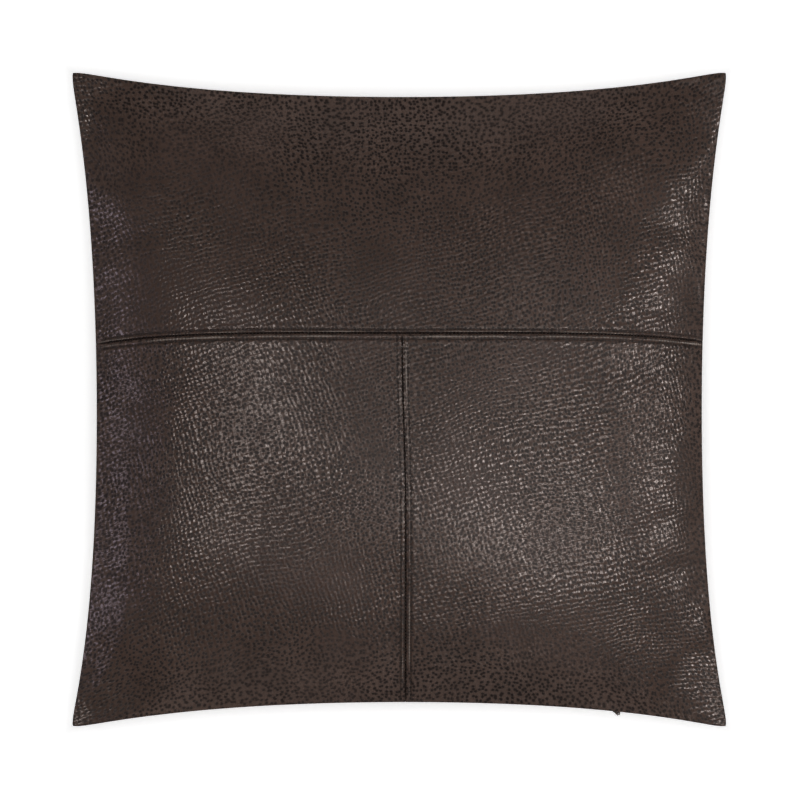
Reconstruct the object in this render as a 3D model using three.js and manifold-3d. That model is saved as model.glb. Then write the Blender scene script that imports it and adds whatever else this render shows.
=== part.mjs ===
// A square knife-edge throw pillow lying on its back: a faux-leather cover pieced from three front
// panels and one back panel, closed by a concealed coil zip in its bottom edge, over a filled insert.
// Millimetres, +Z up and out of the pillow's front, +Y towards the edge opposite the zip. The origin is
// on the floor under the middle of the pillow.
//
// Every layer is a grid over (u, v), which both run from -1 to 1 across the pillow. Seams lie on lines
// of that grid, so each layer and each thread follows the same surface at its own depth.
import * as THREE from "three";
import { mergeVertices } from "three/addons/utils/BufferGeometryUtils.js";
import Module from "manifold-3d";

const wasm = await Module();
wasm.setup();

// ---------- Driving dimensions, in millimetres unless a comment says otherwise ----------

// Outline: the sides pull in between the corners of the filled cover.
const CORNER_HALF = 270; // middle of the pillow to a sharp corner
const EDGE_HALF = 248; // middle of the pillow to the middle of a side
const EDGE_QUARTIC = 0.28; // share of a side's curve that bends only near the corners
const CORNER_ROUND = 0.009; // share of its distance that a corner's tip draws in
const CORNER_POWER = 40;

// Crown: how the two faces swell from the edge.
const EDGE_PLANE = 68; // height of the knife edge above the floor
const SLIT_HALF = 0.5; // half the gap between the front and back leather along the edge
const FRONT_CROWN = 81.5;
const BACK_CROWN = 74; // before the floor flattens it
const CROWN_POWER = 0.55;
const CROWN_SPREAD = 2.3; // over 2, the crown stays full further towards the sides
const CROWN_SOFTEN = 0.05; // keeps the slope at the edge finite

// Seams of the front.
const SEAM_V = 0.2115; // where the horizontal seam lies, as v
const SEAM_BOW = 11.3; // how far the horizontal seam drops at the sides
const SEAM_BOW_POWER = 3.6;
const SEAM_BOW_SKEW = 0.115; // the left end drops this share more, the right end less
const SEAM_DRIFT_TOP = 2.2; // the vertical seam's place in x at its top
const SEAM_DRIFT_GAIN = 2.9; // how much further right its lower half runs
const SEAM_DRIFT_SPAN = 0.6; // the stretch of v over which it gets there
const SEAM_TUCK = 0.8; // how deep a seam sinks
const SEAM_TUCK_WIDTH = 2;
const TUCK_FADE = 6; // the tuck is whole where the face has risen by one part in this many
const SEAM_GAP = 0.0012; // half the gap between two panels, as u or v
const STITCH_OFF = 0.015; // seam to topstitch row, as u or v
const ALLOWANCE_OFF = 0.038; // seam to the raw edge of its allowance, as u or v
const ALLOWANCE_FROM = 0.002; // the fold that joins an allowance to its panel lies between
const ALLOWANCE_TO = 0.006; // these two distances from the seam, as u or v

// Sheets and threads.
const LEATHER = 1.0;
const ALLOWANCE_GAP = 0.3; // between a panel and its own turned allowance
const EDGE_TURN = 1.5; // width of the leather where it turns in at the knife edge
const EDGE_ALLOWANCE = 10;
const EDGE_ALLOWANCE_FROM = 1.2; // how far in from the edge it starts
const CORNER_TRIM = 12; // the allowance thins over one part in this many of a side, at a corner
const EDGE_BODY = 1.6; // how much the turned layers hold the faces apart just inside the edge
const EDGE_BODY_POWER = 30;
const TOPSTITCH = { half: 0.0012, low: 0.08, high: 0.4 }; // half as u or v, heights over the leather
const SEAM_THREAD = { half: 0.0006, from: 0.6, to: 1.6 }; // half as u or v, depths under the leather
const EDGE_THREAD = { from: 0.9, to: 1.5, half: 0.25 };

// Concealed zip. Along the bottom edge it follows one circular arc, whose centre is outside the pillow.
const ARC_RADIUS = 1880;
const ARC_X = 3.6; // the arc's highest point, across
const ARC_Y = 0.25 - EDGE_HALF; // and up the pillow
const TAPE_HALF_LENGTH = 196;
const COIL_HALF_LENGTH = 188;
const SLIDER_AT = 176; // where the slider rests, closed, along the zip from its middle
const ZIP_U = 0.735; // the leather is turned for the zip as far as this u on both sides
const ZIP_LAP = 0.002; // and laps the plain turning by this much of u
// Sections across the zip: [distance in from the edge, distance from the slit's plane].
const LIP = [
  [0.6, 0.57], [3.4, 0.57], [3.4, 1.1], [4.6, 2.3], [14, 2.3], [14, 3.3], [4.2, 3.3], [2.2, 1.7],
];
const TAPE = [[5.2, 1.85], [16, 1.85], [16, 2.15], [5.2, 2.15]];
const COIL = [[4.9, 0.5], [6.7, 0.5], [6.7, 1.7], [4.9, 1.7]];
const ZIP_STITCH = [[9, 1.45], [9.6, 1.45], [9.6, 1.75], [9, 1.75]];
const BARTACK = { from: 1.0, to: 6.0, half: 0.3, width: 1.4, at: 189.8 };
const SLIDER_BODY = { length: 10.4, from: 7.0, to: 8.2, half: 1.55 };
const SLIDER_STEM = { length: 3.8, from: -2.45, to: 7.1, half: 0.3 };
const PULL_AXIS = -1.95; // the bar that the pull's ring hangs on, in from the edge
const RING = { inner: 0.75, outer: 1.35, thick: 0.7 };
const LUG_HOLE = { length: 2.0, from: -1.4, to: -0.4 };
const TAB = { neck: 0.75, half: 2.7, length: 20, thick: 0.9 };

// Insert.
const INSERT_IN = 20; // how far its corners stay inside the cover's
const INSERT_UNDER = 7; // how far its crown stays under the front cover's
const INSERT_OVER = 3.4; // how far it stays above the floor
const CASING = 0.6;
const CASING_GAP = 0.45; // half the gap between its two halves
const FILL_IN = 9; // how far the filling's corners stay inside the casing's
const FILL_UNDER = 3;

// Care label, sewn inside the left edge against the back panel.
const LABEL = { u: [-0.965, -0.9, -0.8], v: [-0.56, -0.5, -0.44], from: 2.7, to: 3.1 };

// Grid lines.
const SIDE_LINES = [0.18, 0.36, 0.54, 0.7, 0.84, 0.93, 0.98, 1];
const LOWER_V = [-1, -0.98, -0.93, -0.84, -0.7, -0.54, -0.36, -0.18, 0, 0.11];
const UPPER_V = [0.38, 0.54, 0.7, 0.84, 0.93, 0.98, 1];
const INSERT_LINES = [0, 0.25, 0.48, 0.68, 0.84, 0.94, 1];
const FULL_TURN = 2 * Math.PI;

// ---------- The pillow's surface ----------

const lerp = THREE.MathUtils.lerp;
const smooth = THREE.MathUtils.smoothstep;
const mirrored = (lines) => [...lines.filter((t) => t > 0).map((t) => -t).reverse(), ...lines];

function halfSide(t) {
  const bend = (1 - EDGE_QUARTIC) * t ** 2 + EDGE_QUARTIC * t ** 4;
  return EDGE_HALF + (CORNER_HALF - EDGE_HALF) * bend;
}

function plan(u, v) {
  const pull = 1 - CORNER_ROUND * Math.abs(u * v) ** CORNER_POWER;
  const drift = SEAM_DRIFT_TOP + SEAM_DRIFT_GAIN * smooth((SEAM_V - v) / SEAM_DRIFT_SPAN, 0, 1);
  const bow = SEAM_BOW * Math.abs(u) ** SEAM_BOW_POWER * (1 - SEAM_BOW_SKEW * u);
  const x = u * halfSide(v) + drift * (1 - u * u);
  const y = v * halfSide(u) - bow * (1 - v * v);
  return [x * pull, y * pull];
}

function swell(u, v) {
  const rise = (w) => (w + CROWN_SOFTEN) ** CROWN_POWER;
  const room = (t) => 1 - Math.min(1, Math.abs(t)) ** CROWN_SPREAD;
  return (rise(room(u) * room(v)) - rise(0)) / (rise(1) - rise(0));
}

function tuck(u, v) {
  const dip = (t) => SEAM_TUCK * Math.exp(-((t * EDGE_HALF / SEAM_TUCK_WIDTH) ** 2));
  return Math.max(dip(v - SEAM_V), v < SEAM_V ? dip(u) : 0);
}

// A shell is one face of the cover, of the insert's casing or of its filling.
const shell = (face, crown, half, inset, floor, tucked = false) => ({
  face, crown, half, floor, tucked, scale: 1 - inset / CORNER_HALF,
});
const COVER_FRONT = shell(1, FRONT_CROWN, SLIT_HALF, 0, 0, true);
const COVER_BACK = shell(-1, BACK_CROWN, SLIT_HALF, 0, 0);
const CASING_FRONT = shell(1, FRONT_CROWN - INSERT_UNDER, CASING_GAP, INSERT_IN, 0);
const CASING_BACK = shell(-1, BACK_CROWN - INSERT_UNDER, CASING_GAP, INSERT_IN, INSERT_OVER);
const FILL_TOP = shell(
  1, FRONT_CROWN - INSERT_UNDER - FILL_UNDER, 0.2, INSERT_IN + FILL_IN, 0,
);
const FILL_BOTTOM = shell(
  -1, BACK_CROWN - INSERT_UNDER - FILL_UNDER, 0.2, INSERT_IN + FILL_IN, INSERT_OVER + CASING + 1,
);

function onShell(s, u, v) {
  const [x, y] = plan(u, v);
  const rise = swell(u, v);
  const dip = s.tucked ? tuck(u, v) * Math.min(1, TUCK_FADE * rise) : 0;
  const body = EDGE_BODY * (1 - Math.max(u * u, v * v) ** EDGE_BODY_POWER);
  const lift = s.half + s.crown * rise + body - dip;
  const z = Math.max(s.floor, EDGE_PLANE + s.face * lift);
  return new THREE.Vector3(x * s.scale, y * s.scale, z);
}

// A point at a depth under the shell, square to it. At the knife edge the sheet is cut level instead.
function under(s, u, v, depth) {
  const at = onShell(s, u, v);
  if (depth === 0) return at;
  if (Math.max(Math.abs(u), Math.abs(v)) === 1) {
    const inward = 1 - (EDGE_TURN * depth) / (LEATHER * CORNER_HALF);
    return new THREE.Vector3(at.x * inward, at.y * inward, at.z);
  }
  const h = 0.004;
  const along = onShell(s, u + h, v).sub(onShell(s, u - h, v));
  const across = onShell(s, u, v + h).sub(onShell(s, u, v - h));
  const normal = along.cross(across).normalize();
  at.addScaledVector(normal, -depth * s.face);
  at.z = EDGE_PLANE + s.face * Math.max(s.half, s.face * (at.z - EDGE_PLANE));
  return at;
}

// ---------- Solids ----------

function signedVolume({ points, faces }) {
  const total = faces.reduce(
    (sum, [a, b, c]) => sum + points[a].dot(points[b].clone().cross(points[c])), 0,
  );
  return total / 6;
}

function solid(shape) {
  const flip = signedVolume(shape) < 0;
  const vertProperties = new Float32Array(shape.points.flatMap((p) => p.toArray()));
  const triVerts = new Uint32Array(shape.faces.flatMap(([a, b, c]) => (flip ? [a, c, b] : [a, b, c])));
  return new wasm.Manifold(new wasm.Mesh({ numProp: 3, vertProperties, triVerts }));
}

function solidOf(geometry) {
  const bare = geometry.clone();
  bare.deleteAttribute("normal");
  bare.deleteAttribute("uv");
  const merged = mergeVertices(bare, 1e-4);
  const vertProperties = new Float32Array(merged.attributes.position.array);
  const triVerts = new Uint32Array(merged.index.array);
  return new wasm.Manifold(new wasm.Mesh({ numProp: 3, vertProperties, triVerts }));
}

const join = (solids) => solids.reduce((all, one) => all.add(one));

// A closed sheet between two grids of the same size: top[i][j] and bottom[i][j].
function between(top, bottom) {
  const columns = top.length;
  const rows = top[0].length;
  const points = [...top.flat(), ...bottom.flat()];
  const index = (layer, i, j) => layer * columns * rows + i * rows + j;
  const faces = [];
  const quad = (a, b, c, d) => faces.push([a, b, c], [a, c, d]);
  for (let i = 0; i < columns - 1; i++) {
    for (let j = 0; j < rows - 1; j++) {
      quad(index(0, i, j), index(0, i + 1, j), index(0, i + 1, j + 1), index(0, i, j + 1));
      quad(index(1, i, j), index(1, i, j + 1), index(1, i + 1, j + 1), index(1, i + 1, j));
    }
    quad(index(1, i, 0), index(1, i + 1, 0), index(0, i + 1, 0), index(0, i, 0));
    const last = rows - 1;
    quad(index(0, i, last), index(0, i + 1, last), index(1, i + 1, last), index(1, i, last));
  }
  for (let j = 0; j < rows - 1; j++) {
    quad(index(0, 0, j), index(0, 0, j + 1), index(1, 0, j + 1), index(1, 0, j));
    const last = columns - 1;
    quad(index(1, last, j), index(1, last, j + 1), index(0, last, j + 1), index(0, last, j));
  }
  return solid({ points, faces });
}

// A closed bar through a row of sections, each a ring of the same number of points.
function loft(sections, contour) {
  const ring = sections[0].length;
  const faces = [];
  for (let i = 0; i < sections.length - 1; i++) {
    for (let k = 0; k < ring; k++) {
      const a = i * ring + k;
      const b = i * ring + ((k + 1) % ring);
      faces.push([a, b, b + ring], [a, b + ring, a + ring]);
    }
  }
  const flat = contour.map(([a, b]) => new THREE.Vector2(a, b));
  const turns = Math.sign(THREE.ShapeUtils.area(flat));
  const end = (sections.length - 1) * ring;
  for (const [a, b, c] of THREE.ShapeUtils.triangulateShape(flat, [])) {
    const same = turns * THREE.ShapeUtils.area([flat[a], flat[b], flat[c]]) > 0;
    const [p, q] = same ? [b, c] : [c, b];
    faces.push([a, q, p], [end + a, end + p, end + q]);
  }
  return solid({ points: sections.flat(), faces });
}

// ---------- Cover ----------

const grid = (s, us, vs, depth) => us.map((u) => vs.map((v) => under(s, u, v, depth)));
const sheet = (s, us, vs, thick) => between(grid(s, us, vs, 0), grid(s, us, vs, thick));

// The leather that is turned in along the knife edge, through the given (u, v) places on the rim.
function edgeAllowance(face, places, contour) {
  const base = contour[0][1];
  const sections = places.map(([u, v]) => {
    const [x, y] = plan(u, v);
    const share = Math.min(1, 0.1 + CORNER_TRIM * (1 - Math.abs(u * v)));
    return contour.map(([inward, off]) => {
      const k = 1 - inward / CORNER_HALF;
      return new THREE.Vector3(x * k, y * k, EDGE_PLANE + face * (base + share * (off - base)));
    });
  });
  return loft(sections, contour);
}

const PLAIN_EDGE = [
  [EDGE_ALLOWANCE_FROM, SLIT_HALF + 0.05],
  [EDGE_ALLOWANCE, SLIT_HALF + 0.05],
  [EDGE_ALLOWANCE, SLIT_HALF + LEATHER],
  [EDGE_ALLOWANCE_FROM, SLIT_HALF + LEATHER],
];

// The allowance that is pressed open under a seam of the front. at(t, off, depth) gives its points.
function seamAllowance(ts, at) {
  const inner = LEATHER + ALLOWANCE_GAP;
  const contour = [
    [ALLOWANCE_FROM, LEATHER / 2],
    [ALLOWANCE_FROM, inner + LEATHER],
    [ALLOWANCE_OFF, inner + LEATHER],
    [ALLOWANCE_OFF, inner],
    [ALLOWANCE_TO, inner],
    [ALLOWANCE_TO, LEATHER / 2],
  ];
  const sections = ts.map((t) => contour.map(([off, depth]) => at(t, off, depth)));
  return loft(sections, contour);
}

const SEAM_SIDE = [SEAM_GAP, STITCH_OFF, ALLOWANCE_OFF];
const RIGHT_U = [...SEAM_SIDE, ...SIDE_LINES];
const LEFT_U = RIGHT_U.map((u) => -u).reverse();
const ACROSS_U = [...LEFT_U.slice(0, -1), 0, ...RIGHT_U.slice(1)];
const UPPER_ROWS = [...SEAM_SIDE.map((off) => SEAM_V + off), ...UPPER_V];
const LOWER_ROWS = [...LOWER_V, ...SEAM_SIDE.map((off) => SEAM_V - off).reverse()];
const BACK_LINES = mirrored([0, ...SIDE_LINES]);

const inside = (lines, limit = 0.98) => lines.filter((t) => Math.abs(t) <= limit);

function frontUpperPanel() {
  const sides = [SEAM_V + ALLOWANCE_FROM, ...UPPER_ROWS.slice(1)];
  const rim = [
    ...sides.map((v) => [-1, v]),
    ...ACROSS_U.slice(1, -1).map((u) => [u, 1]),
    ...[...sides].reverse().map((v) => [1, v]),
  ];
  const seam = seamAllowance(inside(ACROSS_U), (u, off, depth) =>
    under(COVER_FRONT, u, SEAM_V + off, depth));
  return join([
    sheet(COVER_FRONT, ACROSS_U, UPPER_ROWS, LEATHER),
    edgeAllowance(1, rim, PLAIN_EDGE),
    seam,
  ]);
}

function frontLowerPanel(side) {
  const us = side < 0 ? LEFT_U : RIGHT_U;
  const rows = LOWER_ROWS;
  const sides = [...rows.slice(0, -1), SEAM_V - ALLOWANCE_FROM];
  const outer = RIGHT_U.filter((u) => u > ZIP_U).reverse();
  const plainRim = [
    ...[...sides].reverse().map((v) => [side, v]),
    ...outer.slice(1).map((u) => [side * u, -1]),
    [side * ZIP_U, -1],
  ];
  const zipRim = [ALLOWANCE_FROM, ...RIGHT_U.slice(1).filter((u) => u < ZIP_U), ZIP_U + ZIP_LAP]
    .map((u) => [side * u, -1]);
  const across = seamAllowance(inside(us), (u, off, depth) =>
    under(COVER_FRONT, u, SEAM_V - off, depth));
  const below = [...inside(LOWER_V), SEAM_V - ALLOWANCE_OFF - ALLOWANCE_FROM];
  const down = seamAllowance(below, (v, off, depth) =>
    under(COVER_FRONT, side * off, v, depth));
  return join([
    sheet(COVER_FRONT, us, rows, LEATHER),
    edgeAllowance(1, plainRim, PLAIN_EDGE),
    edgeAllowance(1, zipRim, LIP),
    across,
    down,
  ]);
}

function backPanel() {
  const lines = BACK_LINES;
  const outer = lines.filter((u) => u > ZIP_U);
  const plainRim = [
    [-ZIP_U, -1],
    ...outer.map((u) => [-u, -1]),
    ...lines.slice(1, -1).map((v) => [-1, v]),
    ...lines.map((u) => [u, 1]),
    ...lines.slice(1, -1).reverse().map((v) => [1, v]),
    ...[...outer].reverse().map((u) => [u, -1]),
    [ZIP_U, -1],
  ];
  const reach = ZIP_U + ZIP_LAP;
  const zipRim = [-reach, ...lines.filter((u) => Math.abs(u) < ZIP_U), reach].map((u) => [u, -1]);
  return join([
    sheet(COVER_BACK, lines, lines, LEATHER),
    edgeAllowance(-1, plainRim, PLAIN_EDGE),
    edgeAllowance(-1, zipRim, LIP),
  ]);
}

// ---------- Threads ----------

// A flat strand over or in the front: at(t, off, depth) gives its points.
function strand(ts, half, top, bottom, at) {
  const contour = [[-half, top], [half, top], [half, bottom], [-half, bottom]];
  return loft(ts.map((t) => contour.map(([off, depth]) => at(t, off, depth))), contour);
}

const acrossFront = (v0) => (u, off, depth) => under(COVER_FRONT, u, v0 + off, depth);
const downFront = (u0) => (v, off, depth) => under(COVER_FRONT, u0 + off, v, depth);

function topstitchAcross(side) {
  const at = acrossFront(SEAM_V + side * STITCH_OFF);
  return strand(inside(ACROSS_U), TOPSTITCH.half, -TOPSTITCH.high, -TOPSTITCH.low, at);
}

function topstitchDown(side) {
  const rows = [...inside(LOWER_V), SEAM_V - ALLOWANCE_OFF, SEAM_V - 1.5 * STITCH_OFF];
  return strand(rows, TOPSTITCH.half, -TOPSTITCH.high, -TOPSTITCH.low, downFront(side * STITCH_OFF));
}

function horizontalSeamThread() {
  return strand(inside(ACROSS_U), SEAM_THREAD.half, SEAM_THREAD.from, SEAM_THREAD.to, acrossFront(SEAM_V));
}

function verticalSeamThread() {
  const rows = [...inside(LOWER_V), SEAM_V - ALLOWANCE_OFF, SEAM_V - STITCH_OFF];
  return strand(rows, SEAM_THREAD.half, SEAM_THREAD.from, SEAM_THREAD.to, downFront(0));
}

// The sewing line that holds front and back together round three sides and past both zip ends.
function rimThread(s, places, { from, to, half }) {
  const contour = [[from, -half], [to, -half], [to, half], [from, half]];
  const sections = places.map(([u, v]) => {
    const [x, y] = plan(u, v);
    return contour.map(([inward, off]) => {
      const k = s.scale * (1 - inward / CORNER_HALF);
      return new THREE.Vector3(x * k, y * k, EDGE_PLANE + off);
    });
  });
  return loft(sections, contour);
}

function perimeterSeamThread() {
  const lines = BACK_LINES;
  const outer = lines.filter((u) => u > ZIP_U);
  const start = ZIP_U - 0.01;
  const places = [
    [-start, -1],
    ...outer.map((u) => [-u, -1]),
    ...lines.slice(1, -1).map((v) => [-1, v]),
    ...lines.map((u) => [u, 1]),
    ...lines.slice(1, -1).reverse().map((v) => [1, v]),
    ...[...outer].reverse().map((u) => [u, -1]),
    [start, -1],
  ];
  return rimThread(COVER_FRONT, places, EDGE_THREAD);
}

// ---------- Zip ----------

// A bar along the zip's arc. contour holds [distance in from the edge, distance from the slit].
function alongZip(from, to, steps, contour, face = 1) {
  const sections = [];
  for (let i = 0; i <= steps; i++) {
    const angle = lerp(from, to, i / steps) / ARC_RADIUS;
    sections.push(contour.map(([inward, off]) => new THREE.Vector3(
      ARC_X + (ARC_RADIUS + inward) * Math.sin(angle),
      ARC_Y - ARC_RADIUS + (ARC_RADIUS + inward) * Math.cos(angle),
      EDGE_PLANE + face * off,
    )));
  }
  return loft(sections, contour);
}

const ZIP_STEPS = 22;
const zipTape = (face) => alongZip(-TAPE_HALF_LENGTH, TAPE_HALF_LENGTH, ZIP_STEPS, TAPE, face);
const zipCoil = (face) => alongZip(-COIL_HALF_LENGTH, COIL_HALF_LENGTH, ZIP_STEPS, COIL, face);
const zipStitching = (face) => alongZip(-COIL_HALF_LENGTH, COIL_HALF_LENGTH, ZIP_STEPS, ZIP_STITCH, face);

function bartack(side) {
  const { from, to, half, width, at } = BARTACK;
  const contour = [[from, -half], [to, -half], [to, half], [from, half]];
  return alongZip(side * at - width / 2, side * at + width / 2, 1, contour);
}

function box(x, [fromY, toY], halfZ) {
  const shape = new THREE.BoxGeometry(x, toY - fromY, 2 * halfZ);
  shape.translate(0, (fromY + toY) / 2, 0);
  return solidOf(shape);
}

// The slider and the pull are drawn with x along the zip, y in from the edge and z out of the front.
function sliderSolid() {
  const body = box(SLIDER_BODY.length, [SLIDER_BODY.from, SLIDER_BODY.to], SLIDER_BODY.half);
  const stem = box(SLIDER_STEM.length, [SLIDER_STEM.from, SLIDER_STEM.to], SLIDER_STEM.half);
  const hole = box(LUG_HOLE.length, [LUG_HOLE.from, LUG_HOLE.to], 2 * SLIDER_STEM.half);
  return body.add(stem).subtract(hole);
}

function ringSolid() {
  const outline = new THREE.Shape().absarc(0, 0, RING.outer, 0, FULL_TURN);
  outline.holes.push(new THREE.Path().absarc(0, 0, RING.inner, 0, FULL_TURN, true));
  const shape = new THREE.ExtrudeGeometry(outline, {
    depth: RING.thick, bevelEnabled: false, curveSegments: 20,
  });
  shape.translate(0, 0, -RING.thick / 2);
  shape.rotateY(Math.PI / 2);
  return solidOf(shape);
}

// A teardrop that hangs from the ring.
function tabSolid() {
  const start = RING.inner + 0.15;
  const bulb = TAB.length - TAB.half;
  const outline = new THREE.Shape();
  outline.moveTo(-TAB.neck / 2, -start);
  outline.bezierCurveTo(-TAB.neck / 2, -bulb / 2, -TAB.half, -bulb * 0.7, -TAB.half, -bulb);
  outline.absarc(0, -bulb, TAB.half, Math.PI, FULL_TURN);
  outline.bezierCurveTo(TAB.half, -bulb * 0.7, TAB.neck / 2, -bulb / 2, TAB.neck / 2, -start);
  const shape = new THREE.ExtrudeGeometry(outline, {
    depth: TAB.thick, bevelEnabled: false, curveSegments: 10,
  });
  shape.translate(0, 0, -TAB.thick / 2);
  shape.rotateX(Math.PI / 2);
  return solidOf(shape);
}

function pullSolid() {
  return ringSolid().add(tabSolid()).translate([0, PULL_AXIS, 0]);
}

// ---------- Insert ----------

const INSERT_GRID = mirrored(INSERT_LINES);
const casing = (s) => sheet(s, INSERT_GRID, INSERT_GRID, CASING);
const filling = () =>
  between(grid(FILL_TOP, INSERT_GRID, INSERT_GRID, 0), grid(FILL_BOTTOM, INSERT_GRID, INSERT_GRID, 0));

// The casing's seam runs all the way round, so its last section stops just short of its first.
function insertSeamThread() {
  const lines = INSERT_GRID;
  const places = [
    [0.01, -1],
    ...lines.filter((u) => u > 0).map((u) => [u, -1]),
    ...lines.slice(1).map((v) => [1, v]),
    ...[...lines].reverse().slice(1).map((u) => [u, 1]),
    ...[...lines].reverse().slice(1).map((v) => [-1, v]),
    ...lines.filter((u) => u < 0).slice(1).map((u) => [u, -1]),
    [-0.01, -1],
  ];
  return rimThread(CASING_FRONT, places, { from: 0.3, to: 0.9, half: 0.25 });
}

function careLabel() {
  return between(
    grid(COVER_BACK, LABEL.u, LABEL.v, LABEL.from),
    grid(COVER_BACK, LABEL.u, LABEL.v, LABEL.to),
  );
}

// ---------- Scene ----------

const paint = (color, roughness, metalness = 0) =>
  new THREE.MeshStandardMaterial({ color, roughness, metalness });
const FAUX_LEATHER = paint(0x43372f, 0.42);
const THREAD = paint(0x2c221f, 0.6);
const ZIP_TAPE = paint(0x2a211e, 0.9);
const ZIP_COIL = paint(0x261e1b, 0.45);
const ZIP_METAL = paint(0x3a302c, 0.35, 0.8);
const LABEL_CLOTH = paint(0xe9e4da, 0.9);
const CASING_CLOTH = paint(0xece8e0, 0.9);
const WHITE_THREAD = paint(0xf2efe8, 0.8);
const FIBRE = paint(0xf6f4ef, 0.95);

function meshOf(name, made, material) {
  const { vertProperties, triVerts } = made.getMesh();
  const geometry = new THREE.BufferGeometry();
  geometry.setAttribute("position", new THREE.BufferAttribute(vertProperties, 3));
  geometry.setIndex(new THREE.BufferAttribute(triVerts, 1));
  const mesh = new THREE.Mesh(geometry, material);
  mesh.name = name;
  return mesh;
}

const cover = new THREE.Group();
cover.add(
  meshOf("front_upper_panel", frontUpperPanel(), FAUX_LEATHER),
  meshOf("front_lower_left_panel", frontLowerPanel(-1), FAUX_LEATHER),
  meshOf("front_lower_right_panel", frontLowerPanel(1), FAUX_LEATHER),
  meshOf("back_panel", backPanel(), FAUX_LEATHER),
  meshOf("horizontal_seam_thread", horizontalSeamThread(), THREAD),
  meshOf("vertical_seam_thread", verticalSeamThread(), THREAD),
  meshOf("topstitch_horizontal_upper", topstitchAcross(1), THREAD),
  meshOf("topstitch_horizontal_lower", topstitchAcross(-1), THREAD),
  meshOf("topstitch_vertical_left", topstitchDown(-1), THREAD),
  meshOf("topstitch_vertical_right", topstitchDown(1), THREAD),
  meshOf("perimeter_seam_thread", perimeterSeamThread(), THREAD),
  meshOf("care_label", careLabel(), LABEL_CLOTH),
);

const closure = new THREE.Group();
for (const [name, face] of [["front", 1], ["back", -1]]) {
  closure.add(
    meshOf("zip_tape_" + name, zipTape(face), ZIP_TAPE),
    meshOf("zip_coil_" + name, zipCoil(face), ZIP_COIL),
    meshOf("zip_stitching_" + name, zipStitching(face), THREAD),
  );
}
closure.add(
  meshOf("zip_bartack_left", bartack(-1), THREAD),
  meshOf("zip_bartack_right", bartack(1), THREAD),
);

// The slider turns about the centre of the zip's arc, and the pull swings on the slider's lug.
const runner = new THREE.Group();
runner.position.set(ARC_X, ARC_Y - ARC_RADIUS, EDGE_PLANE);
runner.rotation.z = -SLIDER_AT / ARC_RADIUS;
const slider = meshOf("zip_slider", sliderSolid(), ZIP_METAL);
const pull = meshOf("zip_pull", pullSolid(), ZIP_METAL);
slider.position.y = ARC_RADIUS;
pull.position.y = ARC_RADIUS;
runner.add(slider, pull);

const insert = new THREE.Group();
insert.add(
  meshOf("insert_casing_front", casing(CASING_FRONT), CASING_CLOTH),
  meshOf("insert_casing_back", casing(CASING_BACK), CASING_CLOTH),
  meshOf("insert_seam_thread", insertSeamThread(), WHITE_THREAD),
  meshOf("insert_fill", filling(), FIBRE),
);

const pillow = new THREE.Group();
pillow.add(cover, closure, runner, insert);
export default pillow;
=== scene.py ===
"""Throw pillow: pieced, topstitched faux-leather cover with a concealed zip, over a filled insert.

Lengths are millimetres up to the point where a mesh is made, which is in metres. +Z is out of the
pillow's front and +Y is up it, away from the zip; the pillow lies on its back on the floor.
"""
import math
from collections import namedtuple

import bpy
import numpy as np
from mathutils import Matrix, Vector


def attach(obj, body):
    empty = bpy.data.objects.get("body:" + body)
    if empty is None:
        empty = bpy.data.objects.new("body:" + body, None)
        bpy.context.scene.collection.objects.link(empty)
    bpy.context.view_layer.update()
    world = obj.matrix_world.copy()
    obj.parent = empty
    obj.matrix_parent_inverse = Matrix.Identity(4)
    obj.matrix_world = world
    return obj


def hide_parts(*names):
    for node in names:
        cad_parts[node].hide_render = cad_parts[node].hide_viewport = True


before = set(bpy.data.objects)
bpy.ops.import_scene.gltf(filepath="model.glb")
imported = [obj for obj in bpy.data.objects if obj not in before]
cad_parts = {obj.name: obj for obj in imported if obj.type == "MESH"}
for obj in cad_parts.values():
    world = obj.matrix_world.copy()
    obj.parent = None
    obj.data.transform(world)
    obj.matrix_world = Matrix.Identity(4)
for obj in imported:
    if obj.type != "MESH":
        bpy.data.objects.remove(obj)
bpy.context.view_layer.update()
MM = 0.001


def placed(name, data):
    """A new object, in the scene."""
    made = bpy.data.objects.new(name, data)
    bpy.context.collection.objects.link(made)
    return made


def grid_quads(table):
    """The faces of a grid of point numbers."""
    quads = np.stack([table[:-1, :-1], table[1:, :-1], table[1:, 1:], table[:-1, 1:]], -1)
    return quads.reshape(-1, 4)


# ---------- Driving dimensions, shared with the CAD ----------

CORNER_HALF = 270.0
EDGE_HALF = 248.0
EDGE_QUARTIC = 0.28
CORNER_ROUND = 0.009
CORNER_POWER = 40
EDGE_PLANE = 68.0
FRONT_CROWN = 81.5
BACK_CROWN = 74.0
CROWN_POWER = 0.55
CROWN_SPREAD = 2.3
CROWN_SOFTEN = 0.05
SEAM_V = 0.2115
SEAM_BOW = 11.3
SEAM_BOW_POWER = 3.6
SEAM_BOW_SKEW = 0.115
SEAM_DRIFT_TOP = 2.2
SEAM_DRIFT_GAIN = 2.9
SEAM_DRIFT_SPAN = 0.6
SEAM_TUCK = 0.35  # the rest of the CAD's tuck is in seam_profile
SEAM_TUCK_WIDTH = 2.0
TUCK_FADE = 6.0
SEAM_GAP = 0.0006
LEATHER = 1.0
EDGE_BODY = 1.6
ARC_RADIUS = 1880.0
ARC_X = 3.6
ARC_Y = 0.25 - EDGE_HALF
TAPE_HALF_LENGTH = 196.0
COIL_HALF_LENGTH = 188.0
ZIP_U = 0.735
INSERT_IN = 20.0
INSERT_UNDER = 7.0
INSERT_OVER = 3.4
CASING = 0.6
FILL_IN = 9.0
FILL_UNDER = 3.0

# ---------- The pillow's surface ----------


def smooth(t):
    t = np.clip(t, 0.0, 1.0)
    return t * t * (3.0 - 2.0 * t)


def half_side(t):
    bend = (1.0 - EDGE_QUARTIC) * t**2 + EDGE_QUARTIC * t**4
    return EDGE_HALF + (CORNER_HALF - EDGE_HALF) * bend


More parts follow.
